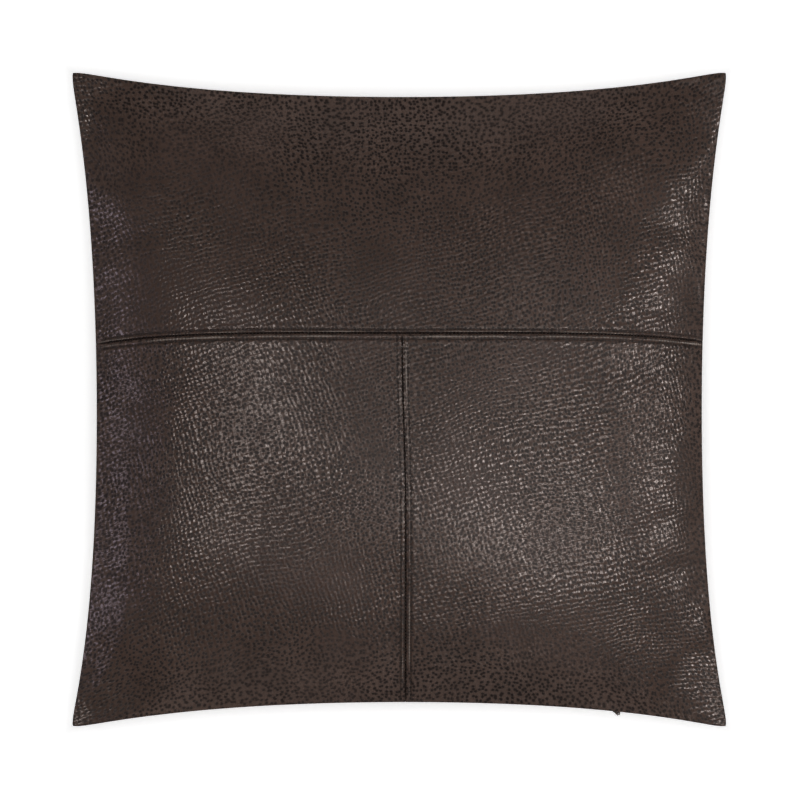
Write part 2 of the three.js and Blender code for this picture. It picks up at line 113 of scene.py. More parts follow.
def plan(u, v):
    pull = 1.0 - CORNER_ROUND * np.abs(u * v) ** CORNER_POWER
    drift = SEAM_DRIFT_TOP + SEAM_DRIFT_GAIN * smooth((SEAM_V - v) / SEAM_DRIFT_SPAN)
    bow = SEAM_BOW * np.abs(u) ** SEAM_BOW_POWER * (1.0 - SEAM_BOW_SKEW * u)
    x = u * half_side(v) + drift * (1.0 - u * u)
    y = v * half_side(u) - bow * (1.0 - v * v)
    return x * pull, y * pull


def swell(u, v):
    room = (1.0 - np.minimum(1, np.abs(u)) ** CROWN_SPREAD) * (
        1.0 - np.minimum(1, np.abs(v)) ** CROWN_SPREAD
    )
    rest = CROWN_SOFTEN**CROWN_POWER
    return ((room + CROWN_SOFTEN) ** CROWN_POWER - rest) / (
        (1.0 + CROWN_SOFTEN) ** CROWN_POWER - rest
    )


def rim_distance(u, v):
    return (1.0 - np.maximum(np.abs(u), np.abs(v))) * 0.5 * (EDGE_HALF + CORNER_HALF)


# A shell is one face of the cover, of the casing or of the filling.
Shell = namedtuple("Shell", "face crown inset floor cover")
FRONT = Shell(1, FRONT_CROWN, 0.0, 0.0, True)
BACK = Shell(-1, BACK_CROWN, 0.0, 0.0, True)
CASING_FRONT = Shell(1, FRONT_CROWN - INSERT_UNDER, INSERT_IN, 0.0, False)
CASING_BACK = Shell(-1, BACK_CROWN - INSERT_UNDER, INSERT_IN, INSERT_OVER, False)
FILL_TOP = Shell(1, CASING_FRONT.crown - FILL_UNDER, INSERT_IN + FILL_IN, 0.0, False)
FILL_BOTTOM = Shell(
    -1, CASING_BACK.crown - FILL_UNDER, INSERT_IN + FILL_IN, INSERT_OVER + CASING + 1.0, False
)

ZIP_SLIT = 0.5  # half the slit between the rolled edges along the zip
SEWN_SLIT = 0.15  # and where they are sewn together
ROLL = 0.8  # radius of the leather's roll at the knife edge
BODY_RISE = 1.8  # the turned layers reach their full height this far in from the edge


def slit_half(u, v):
    along_zip = smooth((-v - 0.6) / 0.3) * smooth((ZIP_U + 0.05 - np.abs(u)) / 0.05)
    return SEWN_SLIT + (ZIP_SLIT - SEWN_SLIT) * along_zip


def on_shell(shell, u, v):
    x, y = plan(u, v)
    rise = swell(u, v)
    lift = shell.crown * rise
    if shell.cover:
        near = np.clip(1.0 - rim_distance(u, v) / BODY_RISE, 0.0, 1.0)
        body = ROLL + (EDGE_BODY - ROLL) * np.sqrt(1.0 - near**2)
        lift = lift + slit_half(u, v) + body
    else:
        lift = lift + 0.3
    if shell is FRONT:
        dip = SEAM_TUCK * np.exp(-(((v - SEAM_V) * EDGE_HALF / SEAM_TUCK_WIDTH) ** 2))
        down = SEAM_TUCK * np.exp(-((u * EDGE_HALF / SEAM_TUCK_WIDTH) ** 2))
        dip = np.maximum(dip, np.where(v < SEAM_V, down, 0.0))
        lift = lift - dip * np.minimum(1.0, TUCK_FADE * rise)
    scale = 1.0 - shell.inset / CORNER_HALF
    z = EDGE_PLANE + shell.face * lift
    if shell.face < 0:
        z = rounded_floor(z, shell.floor)
    return np.stack([x * scale, y * scale, z], axis=-1)


FLOOR_ROUND = 3.0  # the back panel meets the floor over this height


def rounded_floor(z, floor):
    """Never below the floor, and rounded where the shell reaches it."""
    t = np.clip((z - floor) / FLOOR_ROUND, -1.0, 1.0)
    near = floor + FLOOR_ROUND * 0.25 * (t + 1.0) ** 2
    return np.where(z > floor + FLOOR_ROUND, z, np.maximum(floor, near))


def normals(shell, u, v):
    h = 0.002
    along = on_shell(shell, np.minimum(u + h, 1), v) - on_shell(shell, np.maximum(u - h, -1), v)
    across = on_shell(shell, u, np.minimum(v + h, 1)) - on_shell(shell, u, np.maximum(v - h, -1))
    n = np.cross(along, across)
    n /= np.linalg.norm(n, axis=-1, keepdims=True) + 1e-12
    return n * shell.face


# ---------- Folds, lumps and puckers ----------


def waves(seed, count, shortest, longest):
    """Plane waves in the plan, as (kx, ky, phase, weight), the same on every run."""
    rng = np.random.default_rng(seed)
    length = rng.uniform(shortest, longest, count)
    angle = rng.uniform(0, 2 * math.pi, count)
    phase = rng.uniform(0, 2 * math.pi, count)
    k = 2 * math.pi / length
    return np.stack([k * np.cos(angle), k * np.sin(angle), phase, length / longest], axis=-1)


def rippled(table, x, y):
    total = 0.0
    for kx, ky, phase, weight in table:
        total = total + weight * np.sin(kx * x + ky * y + phase)
    return total / math.sqrt(len(table))


LUMPS = {1: waves(11, 9, 95, 210), -1: waves(12, 9, 80, 170)}
EDGE_WAVES = {1: waves(21, 8, 26, 70), -1: waves(22, 8, 22, 60)}
LUMP_HEIGHT = 1.5
EDGE_WAVE_HEIGHT = 1.3
EDGE_WAVE_REACH = 24.0

# Creases of the front as (points in the plan, height, width): a hip runs up the left side from the
# lower left corner, where the filling ends.
HIP = [(-259.0, -254.0), (-236.0, -218.0), (-223.0, -190.0), (-219.0, -140.0), (-219.0, -60.0),
       (-216.0, 10.0)]
CREASES = [(HIP, 1.7, 6.5)]


def along_path(path, x, y):
    """Distance to a path, and how far along it the nearest point is, from 0 to 1."""
    best = np.full(np.shape(x), 1e9)
    where = np.zeros(np.shape(x))
    for i in range(len(path) - 1):
        (ax, ay), (bx, by) = path[i], path[i + 1]
        dx, dy = bx - ax, by - ay
        t = np.clip(((x - ax) * dx + (y - ay) * dy) / (dx * dx + dy * dy), 0.0, 1.0)
        d = np.hypot(x - ax - t * dx, y - ay - t * dy)
        nearer = d < best
        best = np.where(nearer, d, best)
        where = np.where(nearer, (i + t) / (len(path) - 1), where)
    return best, where


SIM_CELLS = 84
SIM_FRAMES = 18
SIM_CAP = 6.0  # most that a point may move, square to the shell
SIM_SLACK = 0.02  # how much bigger the cover is than its filling, for the folds to come from
SIM_BROAD = 9.0  # moves broader than this many cells are left out, so that the crown stays
SIM_SHARES = ((FRONT, 0.35, 0.05), (BACK, 0.9, 0.6))  # of the move, used at the edge and the middle
SIM_EDGE, SIM_FADE = 30.0, 90.0  # the edge's share reaches this far in, then fades over this
SIM_CLOTH = {
    "vertex_group_mass": "held", "use_pressure": True, "uniform_pressure_force": 4.0, "mass": 0.4,
    "tension_stiffness": 25.0, "compression_stiffness": 25.0, "shear_stiffness": 12.0,
    "bending_stiffness": 0.6, "air_damping": 4.0, "shrink_min": -SIM_SLACK, "quality": 6,
}


def simulate():
    """Blows the cover up as cloth, with its knife edge held, and returns each face's folds."""
    lines = np.linspace(-1.0, 1.0, SIM_CELLS + 1)
    u, v = np.meshgrid(lines, lines, indexing="ij")
    rim = (np.abs(u) == 1) | (np.abs(v) == 1)
    number = np.arange(u.size).reshape(u.shape)
    faces, starts = [], []
    for shell, table in ((FRONT, number), (BACK, np.where(rim, number, number + u.size))):
        starts.append(on_shell(shell, u, v))
        quads = grid_quads(table)
        faces += (quads if shell.face > 0 else quads[:, ::-1]).tolist()
    starts[0][rim, 2] = EDGE_PLANE
    starts[1][rim] = starts[0][rim]
    mesh = bpy.data.meshes.new("simulated")
    mesh.from_pydata((np.concatenate([p.reshape(-1, 3) for p in starts]) * MM).tolist(), [], faces)
    obj = placed("simulated", mesh)
    held = obj.vertex_groups.new(name="held")
    held.add(number[rim].ravel().tolist(), 1.0, "REPLACE")
    cloth = obj.modifiers.new("cloth", "CLOTH")
    cloth.settings.effector_weights.gravity = 0.0
    for key, value in SIM_CLOTH.items():
        setattr(cloth.settings, key, value)
    cloth.point_cache.frame_start = 1
    cloth.point_cache.frame_end = SIM_FRAMES
    scene = bpy.context.scene
    for step in range(1, SIM_FRAMES + 1):
        scene.frame_set(step)
    shown = obj.evaluated_get(bpy.context.evaluated_depsgraph_get())
    ends = np.empty(len(shown.data.vertices) * 3)
    shown.data.vertices.foreach_get("co", ends)
    ends = ends.reshape(2, *u.shape, 3) / MM
    bpy.data.objects.remove(obj)
    bpy.data.meshes.remove(mesh)
    scene.frame_set(1)
    reach = np.arange(-3 * int(SIM_BROAD), 3 * int(SIM_BROAD) + 1)
    bell = np.exp(-0.5 * (reach / SIM_BROAD) ** 2)
    found = {}
    for k, (shell, at_edge, at_middle) in enumerate(SIM_SHARES):
        move = np.sum((ends[k] - starts[k]) * normals(shell, u, v), axis=-1)
        move = np.where(rim, 0.0, np.clip(move, -SIM_CAP, SIM_CAP))
        broad, weight = move, np.ones(u.shape)
        for axis in (0, 1):
            broad = np.apply_along_axis(np.convolve, axis, broad, bell, "same")
            weight = np.apply_along_axis(np.convolve, axis, weight, bell, "same")
        inward = smooth((rim_distance(u, v) - SIM_EDGE) / SIM_FADE)
        found[shell.face] = (move - broad / weight) * (at_edge + (at_middle - at_edge) * inward)
    return found


def between_cells(table, u, v):
    """Smooth interpolation of a table over the grid."""
    x = (np.clip(u, -1, 1) + 1.0) / 2 * SIM_CELLS
    y = (np.clip(v, -1, 1) + 1.0) / 2 * SIM_CELLS
    i, j = np.floor(x).astype(int), np.floor(y).astype(int)
    total = 0.0
    for a in (-1, 0, 1, 2):
        for b in (-1, 0, 1, 2):
            ta, tb = np.abs(x - i - a), np.abs(y - j - b)
            share = spline(ta) * spline(tb)
            total = total + share * table[np.clip(i + a, 0, SIM_CELLS), np.clip(j + b, 0, SIM_CELLS)]
    return total


def spline(t):
    near = 2.0 / 3.0 - t * t + 0.5 * t**3
    far = np.clip(2.0 - t, 0.0, None) ** 3 / 6.0
    return np.where(t < 1.0, near, far)


SIMULATED = simulate()


def folds(shell, u, v):
    """Height of the soft unevenness of the filled cover, square to the shell."""
    x, y = plan(u, v)
    rim = rim_distance(u, v)
    side = shell.face
    lumps = LUMP_HEIGHT * rippled(LUMPS[side], x, y) * smooth(rim / 45.0)
    edge = EDGE_WAVE_HEIGHT * rippled(EDGE_WAVES[side], x, y)
    edge = edge * np.exp(-rim / EDGE_WAVE_REACH) * smooth(rim / 9.0)
    height = lumps + edge
    if shell is FRONT:
        for path, crease, width in CREASES:
            d, where = along_path(path, x, y)
            ends = smooth(where / 0.12) * smooth((1.0 - where) / 0.3)
            height = height + crease * ends * np.exp(-np.sqrt(d * d + 1.2) / width) * smooth(rim / 6)
    if SIMULATED is not None:
        height = height + between_cells(SIMULATED[side], u, v) * smooth(rim / 5.0)
    if side < 0:
        base = on_shell(shell, u, v)[..., 2]
        height = height * smooth((base - 1.0) / 14.0)
    return height


# ---------- Seams of the front ----------

PITCH = 3.0  # one stitch


def length_table(points, t):
    step = np.linalg.norm(np.diff(points, axis=0), axis=1)
    return t, np.concatenate([[0.0], np.cumsum(step)])


SEAM_STEPS = 2400
_u = np.linspace(-1.0, 1.0, SEAM_STEPS)
ACROSS = length_table(on_shell(FRONT, _u, np.full(SEAM_STEPS, SEAM_V)), _u)
_v = np.linspace(-1.0, SEAM_V, SEAM_STEPS)
DOWN = length_table(on_shell(FRONT, np.zeros(SEAM_STEPS), _v), _v)


# How the leather lies beside a seam: the rolled ridge's place, width and height, the stitch row's
# place, all from the seam, and the strength of the highlight painted on the ridge's top. The upper
# panel rolls tightly and the others more loosely.
Lie = namedtuple("Lie", "ridge width height row wear")
UPPER_LIE = Lie(1.15, 0.6, 0.5, 3.2, 0.75)
LOWER_LIE = Lie(2.8, 1.0, 0.65, 4.8, 0.8)
LEFT_LIE = Lie(2.3, 0.9, 0.25, 4.1, 0.25)
RIGHT_LIE = Lie(2.9, 0.8, 0.42, 4.3, 0.6)


def hump(d, middle, width):
    return np.exp(-(((d - middle) / width) ** 2))


def seam_profile(d, s, lie, seed):
    """Height beside an opened-flat, topstitched seam, d from its middle and s along it, and the light
    and shade painted there: a highlight on the ridge's top, shade in the valley and the stitch groove.
    """
    beat = 0.5 - 0.5 * np.cos(2 * math.pi * s / PITCH)  # 0 in the middle of a stitch, 1 between
    slow = 1.0 + 0.25 * np.sin(s / 17.0 + seed) + 0.2 * np.sin(s / 7.3 + 2.0 * seed)
    valley = -0.85 * hump(d, 0.0, 0.5)
    crest = (0.8 + 0.4 * beat) * slow * hump(d, lie.ridge, lie.width)
    ridge = lie.height * crest
    groove = -(0.62 - 0.4 * beat) * hump(d, lie.row, 0.6)
    apron = 0.18 * slow * hump(d, lie.row + 2.6, 1.9)
    # A highlight painted pale on the rolled ridge's top, and shade painted dark in the seam's valley and
    # the stitch row's groove.
    painted_highlight = lie.wear * crest**3 * (0.75 + 0.35 * np.sin(s / 31.0 + 1.7 * seed))
    painted_shade = 0.9 * hump(d, 0.0, 0.75) + (0.8 - 0.35 * beat) * hump(d, lie.row, 0.75)
    return np.stack([valley + ridge + groove + apron, painted_highlight - painted_shade])


def seam_relief(u, v):
    """Height of the front's seams, and the light and shade painted on them: 1 a pale painted highlight,
    -1 dark painted shade.
    """
    rise = np.minimum(1.0, TUCK_FADE * swell(u, v))
    from_across = np.abs(v - SEAM_V) * half_side(u)
    from_down = np.abs(u) * half_side(v)
    s_across = np.interp(u, *ACROSS)
    s_down = np.interp(v, *DOWN)
    across = np.where(v > SEAM_V, seam_profile(from_across, s_across, UPPER_LIE, 1.0),
                      seam_profile(from_across, s_across, LOWER_LIE, 2.0))
    down = np.where(u > 0, seam_profile(from_down, s_down, RIGHT_LIE, 3.0),
                    seam_profile(from_down, s_down, LEFT_LIE, 4.0))
    down = down * (v < SEAM_V) * smooth((from_across - 0.5) / 4.5)
    return rise * (across + down)


def outer_point(shell, u, v, height=0.0):
    """A point of the finished outer surface, raised by height, with its normal."""
    p = on_shell(shell, u, v)
    n = normals(shell, u, v)
    up = folds(shell, u, v) + height
    if shell is FRONT:
        up = up + seam_relief(u, v)[0]
    p = p + n * np.asarray(up)[..., None]
    if shell.face < 0:
        p[..., 2] = np.maximum(p[..., 2], shell.floor)
    return p, n


# ---------- Meshes ----------


def add_object(name, points, faces, material, body="cover", sharp=50.0):
    mesh = bpy.data.meshes.new(name)
    mesh.from_pydata((np.asarray(points) * MM).tolist(), [], faces)
    mesh.polygons.foreach_set("use_smooth", [True] * len(mesh.polygons))
    if sharp:
        mesh.set_sharp_from_angle(angle=math.radians(sharp))
    mesh.materials.append(material)
    obj = placed(name, mesh)
    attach(obj, body)
    return obj


STEP = 3  # fine lattice steps to a plain cell


def lattice_faces(keep, fine, step, flip):
    """Faces of a closed sheet over a lattice whose cells are step by step fine steps.

    keep says which cells exist and fine which are divided. Outer points are numbered first, over the
    whole fine lattice, and inner ones after them; unused ones are dropped later.
    """
    cu, cv = keep.shape
    nu, nv = cu * step + 1, cv * step + 1
    number = np.arange(nu * nv).reshape(nu, nv)
    inner0 = nu * nv
    used = np.zeros((nu, nv), bool)
    cells = np.argwhere(keep)
    for di in (0, 1):
        for dj in (0, 1):
            used[(cells[:, 0] + di) * step, (cells[:, 1] + dj) * step] = True
    fine = fine & keep
    for i, j in np.argwhere(fine):
        used[i * step : (i + 1) * step + 1, j * step : (j + 1) * step + 1] = True
    faces = []

    def add(quads):
        if flip:
            quads = quads[:, ::-1]
        faces.extend(quads.tolist())

    for a in range(step):
        for b in range(step):
            at = np.argwhere(fine) * step + (a, b)
            if len(at):
                i, j = at[:, 0], at[:, 1]
                add(np.stack([number[i, j], number[i + 1, j], number[i + 1, j + 1],
                              number[i, j + 1]], 1))
    plain = []
    for i, j in np.argwhere(keep & ~fine):
        i0, i1, j0, j1 = i * step, (i + 1) * step, j * step, (j + 1) * step
        between = (
            used[i0 + 1 : i1, j0].any() or used[i0 + 1 : i1, j1].any()
            or used[i0, j0 + 1 : j1].any() or used[i1, j0 + 1 : j1].any()
        )
        if not between:
            plain.append([number[i0, j0], number[i1, j0], number[i1, j1], number[i0, j1]])
            continue
        ring = [(k, j0) for k in range(i0, i1)] + [(i1, k) for k in range(j0, j1)]
        ring += [(k, j1) for k in range(i1, i0, -1)] + [(i0, k) for k in range(j1, j0, -1)]
        face = [int(number[p]) for p in ring if used[p]]
        faces.append(face[::-1] if flip else face)
    if plain:
        add(np.array(plain))
    i, j = cells[:, 0] * step, cells[:, 1] * step
    add(inner0 + np.stack([number[i, j], number[i, j + step], number[i + step, j + step],
                           number[i + step, j]], 1))
    padded = np.pad(keep, 1)
    for i, j in cells:
        i0, i1, j0, j1 = i * step, (i + 1) * step, j * step, (j + 1) * step
        sides = {
            (-1, 0): [(i0, k) for k in range(j1, j0 - 1, -1)],
            (1, 0): [(i1, k) for k in range(j0, j1 + 1)],
            (0, -1): [(k, j0) for k in range(i0, i1 + 1)],
            (0, 1): [(k, j1) for k in range(i1, i0 - 1, -1)],
        }
        for (di, dj), line in sides.items():
            if padded[i + 1 + di, j + 1 + dj]:
                continue
            top = [int(number[p]) for p in line if used[p]]
            face = top[::-1] + [inner0 + int(number[line[0]]), inner0 + int(number[line[-1]])]
            faces.append(face[::-1] if flip else face)
    return faces


def compact(points, faces):
    """Drops the points that no face uses."""
    flat = np.unique(np.concatenate([np.asarray(f) for f in faces]))
    renumber = np.zeros(len(points), int)
    renumber[flat] = np.arange(len(flat))
    return points[flat], [renumber[f].tolist() for f in faces]


def spaced(*widths):
    """Lattice positions from the widths of its plain cells."""
    edges = np.concatenate([[0.0], np.cumsum(widths)])
    return np.concatenate(
        [np.linspace(edges[k], edges[k + 1], STEP + 1)[: STEP] for k in range(len(widths))]
        + [edges[-1:]]
    )


RIM_CELLS = [0.6, 0.6, 0.9, 1.2, 1.5]  # widths of the cells from the knife edge inwards
SEAM_CELLS = [0.6] * 5 + [0.9] * 9  # and from a seam outwards
TURN_CELLS = [0.75, 0.75, 1.5, 2.0, 2.5, 2.5]  # and along the leather turned in at the edge


def line_stations(start, end, start_is, end_is, cell):
    """Fine lattice values of u or v from start to end, and the turned-in lengths beyond the rims."""
    scale = 0.5 * (EDGE_HALF + CORNER_HALF)
    ends = {"rim": RIM_CELLS, "seam": SEAM_CELLS}
    first, last = ends[start_is], ends[end_is][::-1]
    middle = (end - start) * scale - sum(first) - sum(last)
    count = int(round(middle / cell))
    at = start + spaced(*first, *([middle / count] * count), *last) / scale
    turned = np.zeros(len(at))
    extra = spaced(*TURN_CELLS)[1:]
    if start_is == "rim":
        at = np.concatenate([np.full(len(extra), start), at])
        turned = np.concatenate([extra[::-1], turned])
    if end_is == "rim":
        at = np.concatenate([at, np.full(len(extra), end)])
        turned = np.concatenate([turned, extra])
    return at, turned


FLAT_HALF = 279.5  # half the finished side of the cut square
LIP_FROM = 3.2  # along the zip, the turned leather steps out here to make room for the tape
LIP_SPAN = 1.4
LIP_STEP = 1.9
TURN_TAPER = 16.0  # the turned leather narrows this near a corner


def panel(name, shell, u_line, v_line, material, seams=()):
    (us, eu), (vs, ev) = u_line, v_line
    u, v = np.meshgrid(us, vs, indexing="ij")
    turn_u, turn_v = np.meshgrid(eu, ev, indexing="ij")
    turned = np.maximum(turn_u, turn_v)
    outer, n = outer_point(shell, u, v)
    inner = outer - n * LEATHER
    slit = slit_half(u, v)
    # The sheet never dips into its own turned edge.
    rim = rim_distance(u, v)
    least = EDGE_PLANE + shell.face * (slit + ROLL * 0.6 + 0.75 * np.clip(rim / 1.5, 0.0, 1.0))
    if shell.face > 0:
        inner[..., 2] = np.maximum(inner[..., 2], least)
    else:
        inner[..., 2] = np.minimum(inner[..., 2], least)
        inner[..., 2] = np.maximum(inner[..., 2], shell.floor + LEATHER)
    # Past the rim the leather rolls under and runs back inside, along the slit.
    roll = np.clip(turned / (ROLL * math.pi / 2), 0.0, 1.0) * math.pi / 2
    zipped = (slit - SEWN_SLIT) / (ZIP_SLIT - SEWN_SLIT)
    turned_run = np.maximum(0.0, turned - ROLL * math.pi / 2) * (1.0 + 0.4 * zipped)
    inward = ROLL * (1.0 - np.cos(roll)) + turned_run
    to_corner = np.where(turn_u > 0, half_side(u) * (1 - np.abs(v)), half_side(v) * (1 - np.abs(u)))
    inward = inward * (0.04 + 0.96 * smooth(to_corner / TURN_TAPER))
    step_out = LIP_STEP * zipped * smooth((inward - LIP_FROM) / LIP_SPAN)
    flat_z = EDGE_PLANE + shell.face * (slit + ROLL * (1.0 - np.sin(roll)) + step_out)
    past = turned > 0
    sign_u, sign_v = np.where(turn_u > 0, -np.sign(u), 0.0), np.where(turn_v > 0, -np.sign(v), 0.0)
    for points, depth in ((outer, 0.0), (inner, LEATHER)):
        level = flat_z + shell.face * depth * np.sin(roll)
        back = inward + depth * np.cos(roll)
        x0, y0 = plan(u, v)
        points[..., 0] = np.where(past, x0 + sign_u * back, points[..., 0])
        points[..., 1] = np.where(past, y0 + sign_v * back, points[..., 1])
        points[..., 2] = np.where(past, level, points[..., 2])
    cu, cv = (len(us) - 1) // STEP, (len(vs) - 1) // STEP
    mid_u = 0.5 * (turn_u[0:-1:STEP, 0][:cu] + turn_u[STEP::STEP, 0][:cu])
    mid_v = 0.5 * (turn_v[0, 0:-1:STEP][:cv] + turn_v[0, STEP::STEP][:cv])
    keep = ~((mid_u > 0)[:, None] & (mid_v > 0)[None, :])
    fine = np.zeros((cu, cv), bool)
    for test in seams:
        near = test(u, v)
        for di in (0, STEP):
            for dj in (0, STEP):
                fine |= near[di : di + (cu - 1) * STEP + 1 : STEP, dj : dj + (cv - 1) * STEP + 1 : STEP]
    fine &= (mid_u <= 0)[:, None] & (mid_v <= 0)[None, :]
    faces = lattice_faces(keep, fine, STEP, shell.face < 0)
    # Where each point lies on the flat cut leather.
    turn_x, turn_y = np.sign(u) * turn_u, np.sign(v) * turn_v
    flat = np.stack([u * FLAT_HALF + turn_x, v * FLAT_HALF + turn_y, np.zeros(u.shape)], axis=-1)
    # The seams' painted light: highlights on the ridges, shade in the valleys and stitch grooves.
    wear = np.where(past, 0.0, seam_relief(u, v)[1]) if shell is FRONT else np.zeros(u.shape)
    points = np.concatenate([outer.reshape(-1, 3), inner.reshape(-1, 3)])
    extra = np.concatenate([flat * MM, wear[..., None]], axis=-1).reshape(-1, 4)
    both, faces = compact(np.concatenate([points, np.tile(extra, (2, 1))], axis=1), faces)
    obj = add_object(name, both[:, :3], faces, material, sharp=70.0)
    place = obj.data.attributes.new("flat", "FLOAT_VECTOR", "POINT")
    place.data.foreach_set("vector", both[:, 3:6].ravel())
    place = obj.data.attributes.new("wear", "FLOAT", "POINT")
    place.data.foreach_set("value", both[:, 6].copy())
    return obj


def beads(name, centres, along, up, length, width, height, material):
    """A row of stitches: rounded lengths of thread, each bowed down into its holes at both ends."""
    rings, sides = 7, 8
    t = np.linspace(-1.0, 1.0, rings)
    angle = np.linspace(0, 2 * math.pi, sides, endpoint=False)
    swell_t = np.sqrt(np.maximum(0.0, 1.0 - np.abs(t) ** 3.2)) * 0.92 + 0.08
    sink = -0.55 * height * np.abs(t) ** 3
    along = along / np.linalg.norm(along, axis=1, keepdims=True)
    cross = np.cross(up, along)
    cross /= np.linalg.norm(cross, axis=1, keepdims=True)
    up = np.cross(along, cross)
    c = centres[:, None, None, :]
    a = along[:, None, None, :] * (t * length / 2)[None, :, None, None]
    b = cross[:, None, None, :] * (np.cos(angle)[None, :] * swell_t[:, None] * width / 2)[None, :, :, None]
    d = up[:, None, None, :] * (
        np.sin(angle)[None, :] * swell_t[:, None] * height / 2 + sink[:, None]
    )[None, :, :, None]
    points = (c + a + b + d).reshape(-1, 3)
    faces = []
    per = rings * sides
    for k in range(len(centres)):
        o = k * per
        for r in range(rings - 1):
            for s in range(sides):
                s2 = (s + 1) % sides
                p = o + r * sides
                faces.append([p + s, p + s2, p + sides + s2, p + sides + s])
        faces.append([o + s for s in range(sides)][::-1])
        faces.append([o + (rings - 1) * sides + s for s in range(sides)])
    return add_object(name, points, faces, material, sharp=0)


def row_on_front(name, fixed_u, fixed_v, start, end, material, length=2.2, width=0.9, height=0.6,
                 lift=0.1):
    """Topstitches that far in millimetres from one of the seams, from start to end along it."""
    table = ACROSS if fixed_u is None else DOWN
    s0, s1 = np.interp([start, end], *table)
    s = np.arange(math.ceil(s0 / PITCH), math.floor(s1 / PITCH) + 1) * PITCH
    t = np.interp(s, table[1], table[0])
    if fixed_u is None:
        u, v, du, dv = t, SEAM_V + fixed_v / half_side(t), 0.004, 0.0
    else:
        u, v, du, dv = fixed_u / half_side(t), t, 0.0, 0.004
    p, n = outer_point(FRONT, u, v, lift)
    q, _ = outer_point(FRONT, u + du, v + dv, lift)
    o, _ = outer_point(FRONT, u - du, v - dv, lift)
    return beads(name, p, q - o, n, length, width, height, material)


# ---------- Materials ----------


class Graph:
    """Short ways to add and link shader nodes."""

    def __init__(self, name):
        self.material = bpy.data.materials.new(name)
        self.material.use_nodes = True
        self.tree = self.material.node_tree
        self.shader = self.tree.nodes["Principled BSDF"]

    def put(self, socket, value):
        """Links another socket to this one, or sets its value."""
        if isinstance(value, bpy.types.NodeSocket):
            self.tree.links.new(value, socket)
        else:
            socket.default_value = value

    def add(self, kind, output=0, inputs=None, **props):
        node = self.tree.nodes.new(kind)
        for key, value in props.items():
            setattr(node, key, value)
        for key, value in (inputs or {}).items():
            self.put(node.inputs[key], value)
        return node.outputs[output]

    def math(self, operation, a, b=0.0):
        return self.add("ShaderNodeMath", inputs={0: a, 1: b}, operation=operation)

    def place(self):
        where = self.add("ShaderNodeTexCoord", "Object")
        return self.add("ShaderNodeMapping", inputs={0: where})

    def noise(self, where, scale, detail=2.0, roughness=0.5, output="Fac"):
        return self.add("ShaderNodeTexNoise", output,
                        {"Vector": where, "Scale": scale, "Detail": detail, "Roughness": roughness})

    def ranged(self, value, low, high, to_low=0.0, to_high=1.0, kind="SMOOTHSTEP"):
        return self.add("ShaderNodeMapRange", inputs={0: value, 1: low, 2: high, 3: to_low, 4: to_high},
                        interpolation_type=kind)

    def mix(self, share, a, b, blend="MIX"):
        return self.add("ShaderNodeMix", 2, {0: share, 6: a, 7: b}, data_type="RGBA", blend_type=blend)

    def vector(self, operation, a, b):
        result = "Value" if operation == "LENGTH" else "Vector"
        return self.add("ShaderNodeVectorMath", result, {0: a, 1: b}, operation=operation)

    def drift(self, where, scale):
        """Smooth random offsets about zero."""
        return self.vector("SUBTRACT", self.noise(where, scale, 1.0, 0.4, "Color"), (0.5, 0.5, 0.5))

    def moved(self, where, by, amount):
        return self.vector("ADD", where, self.vector("MULTIPLY", by, (amount,) * 3))

    def bump(self, height, distance):
        return self.add("ShaderNodeBump", inputs={"Height": height, "Distance": distance})

    def finish(self, color, roughness, normal=None, **fixed):
        for key, value in (("Base Color", color), ("Roughness", roughness), ("Normal", normal)):
            if value is not None:
                self.put(self.shader.inputs[key], value)
        for key, value in fixed.items():
            self.shader.inputs[key.replace("_", " ")].default_value = value
        return self.material


NET = (0.081, 0.0510, 0.0400, 1)
# The grain's dark pits, also used for the shade painted in the seams' valleys and stitch grooves.
PIT_AND_SEAM_SHADE = (0.0105, 0.0048, 0.0034, 1)
RED = (0.066, 0.040, 0.033, 1)
# A highlight painted on the tops of the seams' ridges.
RIDGE_HIGHLIGHT = (0.26, 0.215, 0.185, 1)
GRAIN = 1.0 / (3.9 * MM)  # pits to the metre
ROWS = 2.0 * math.pi / (4.1 * math.sqrt(2.0) * MM)  # the pebbles are 4.1 mm apart
ROW_TURN = 0.5  # radians by which the rows are turned on the cut leather
# Warps of the grain: how many to the metre, and how far each moves it, in metres.
PULL = (11.0, 0.018)
WANDER = (55.0, 0.0022)
ROW_SHIFT = (150.0, 0.0036)
ROW_PULL = 0.004
PIT_SPAN = (0.20, 0.50)  # from the dark middle of a pit out to its edge, in pit spacings
GRAIN_HEIGHT = 0.00016
GLOSS = (0.20, 0.58)  # roughness on the pebbles, and in the pits


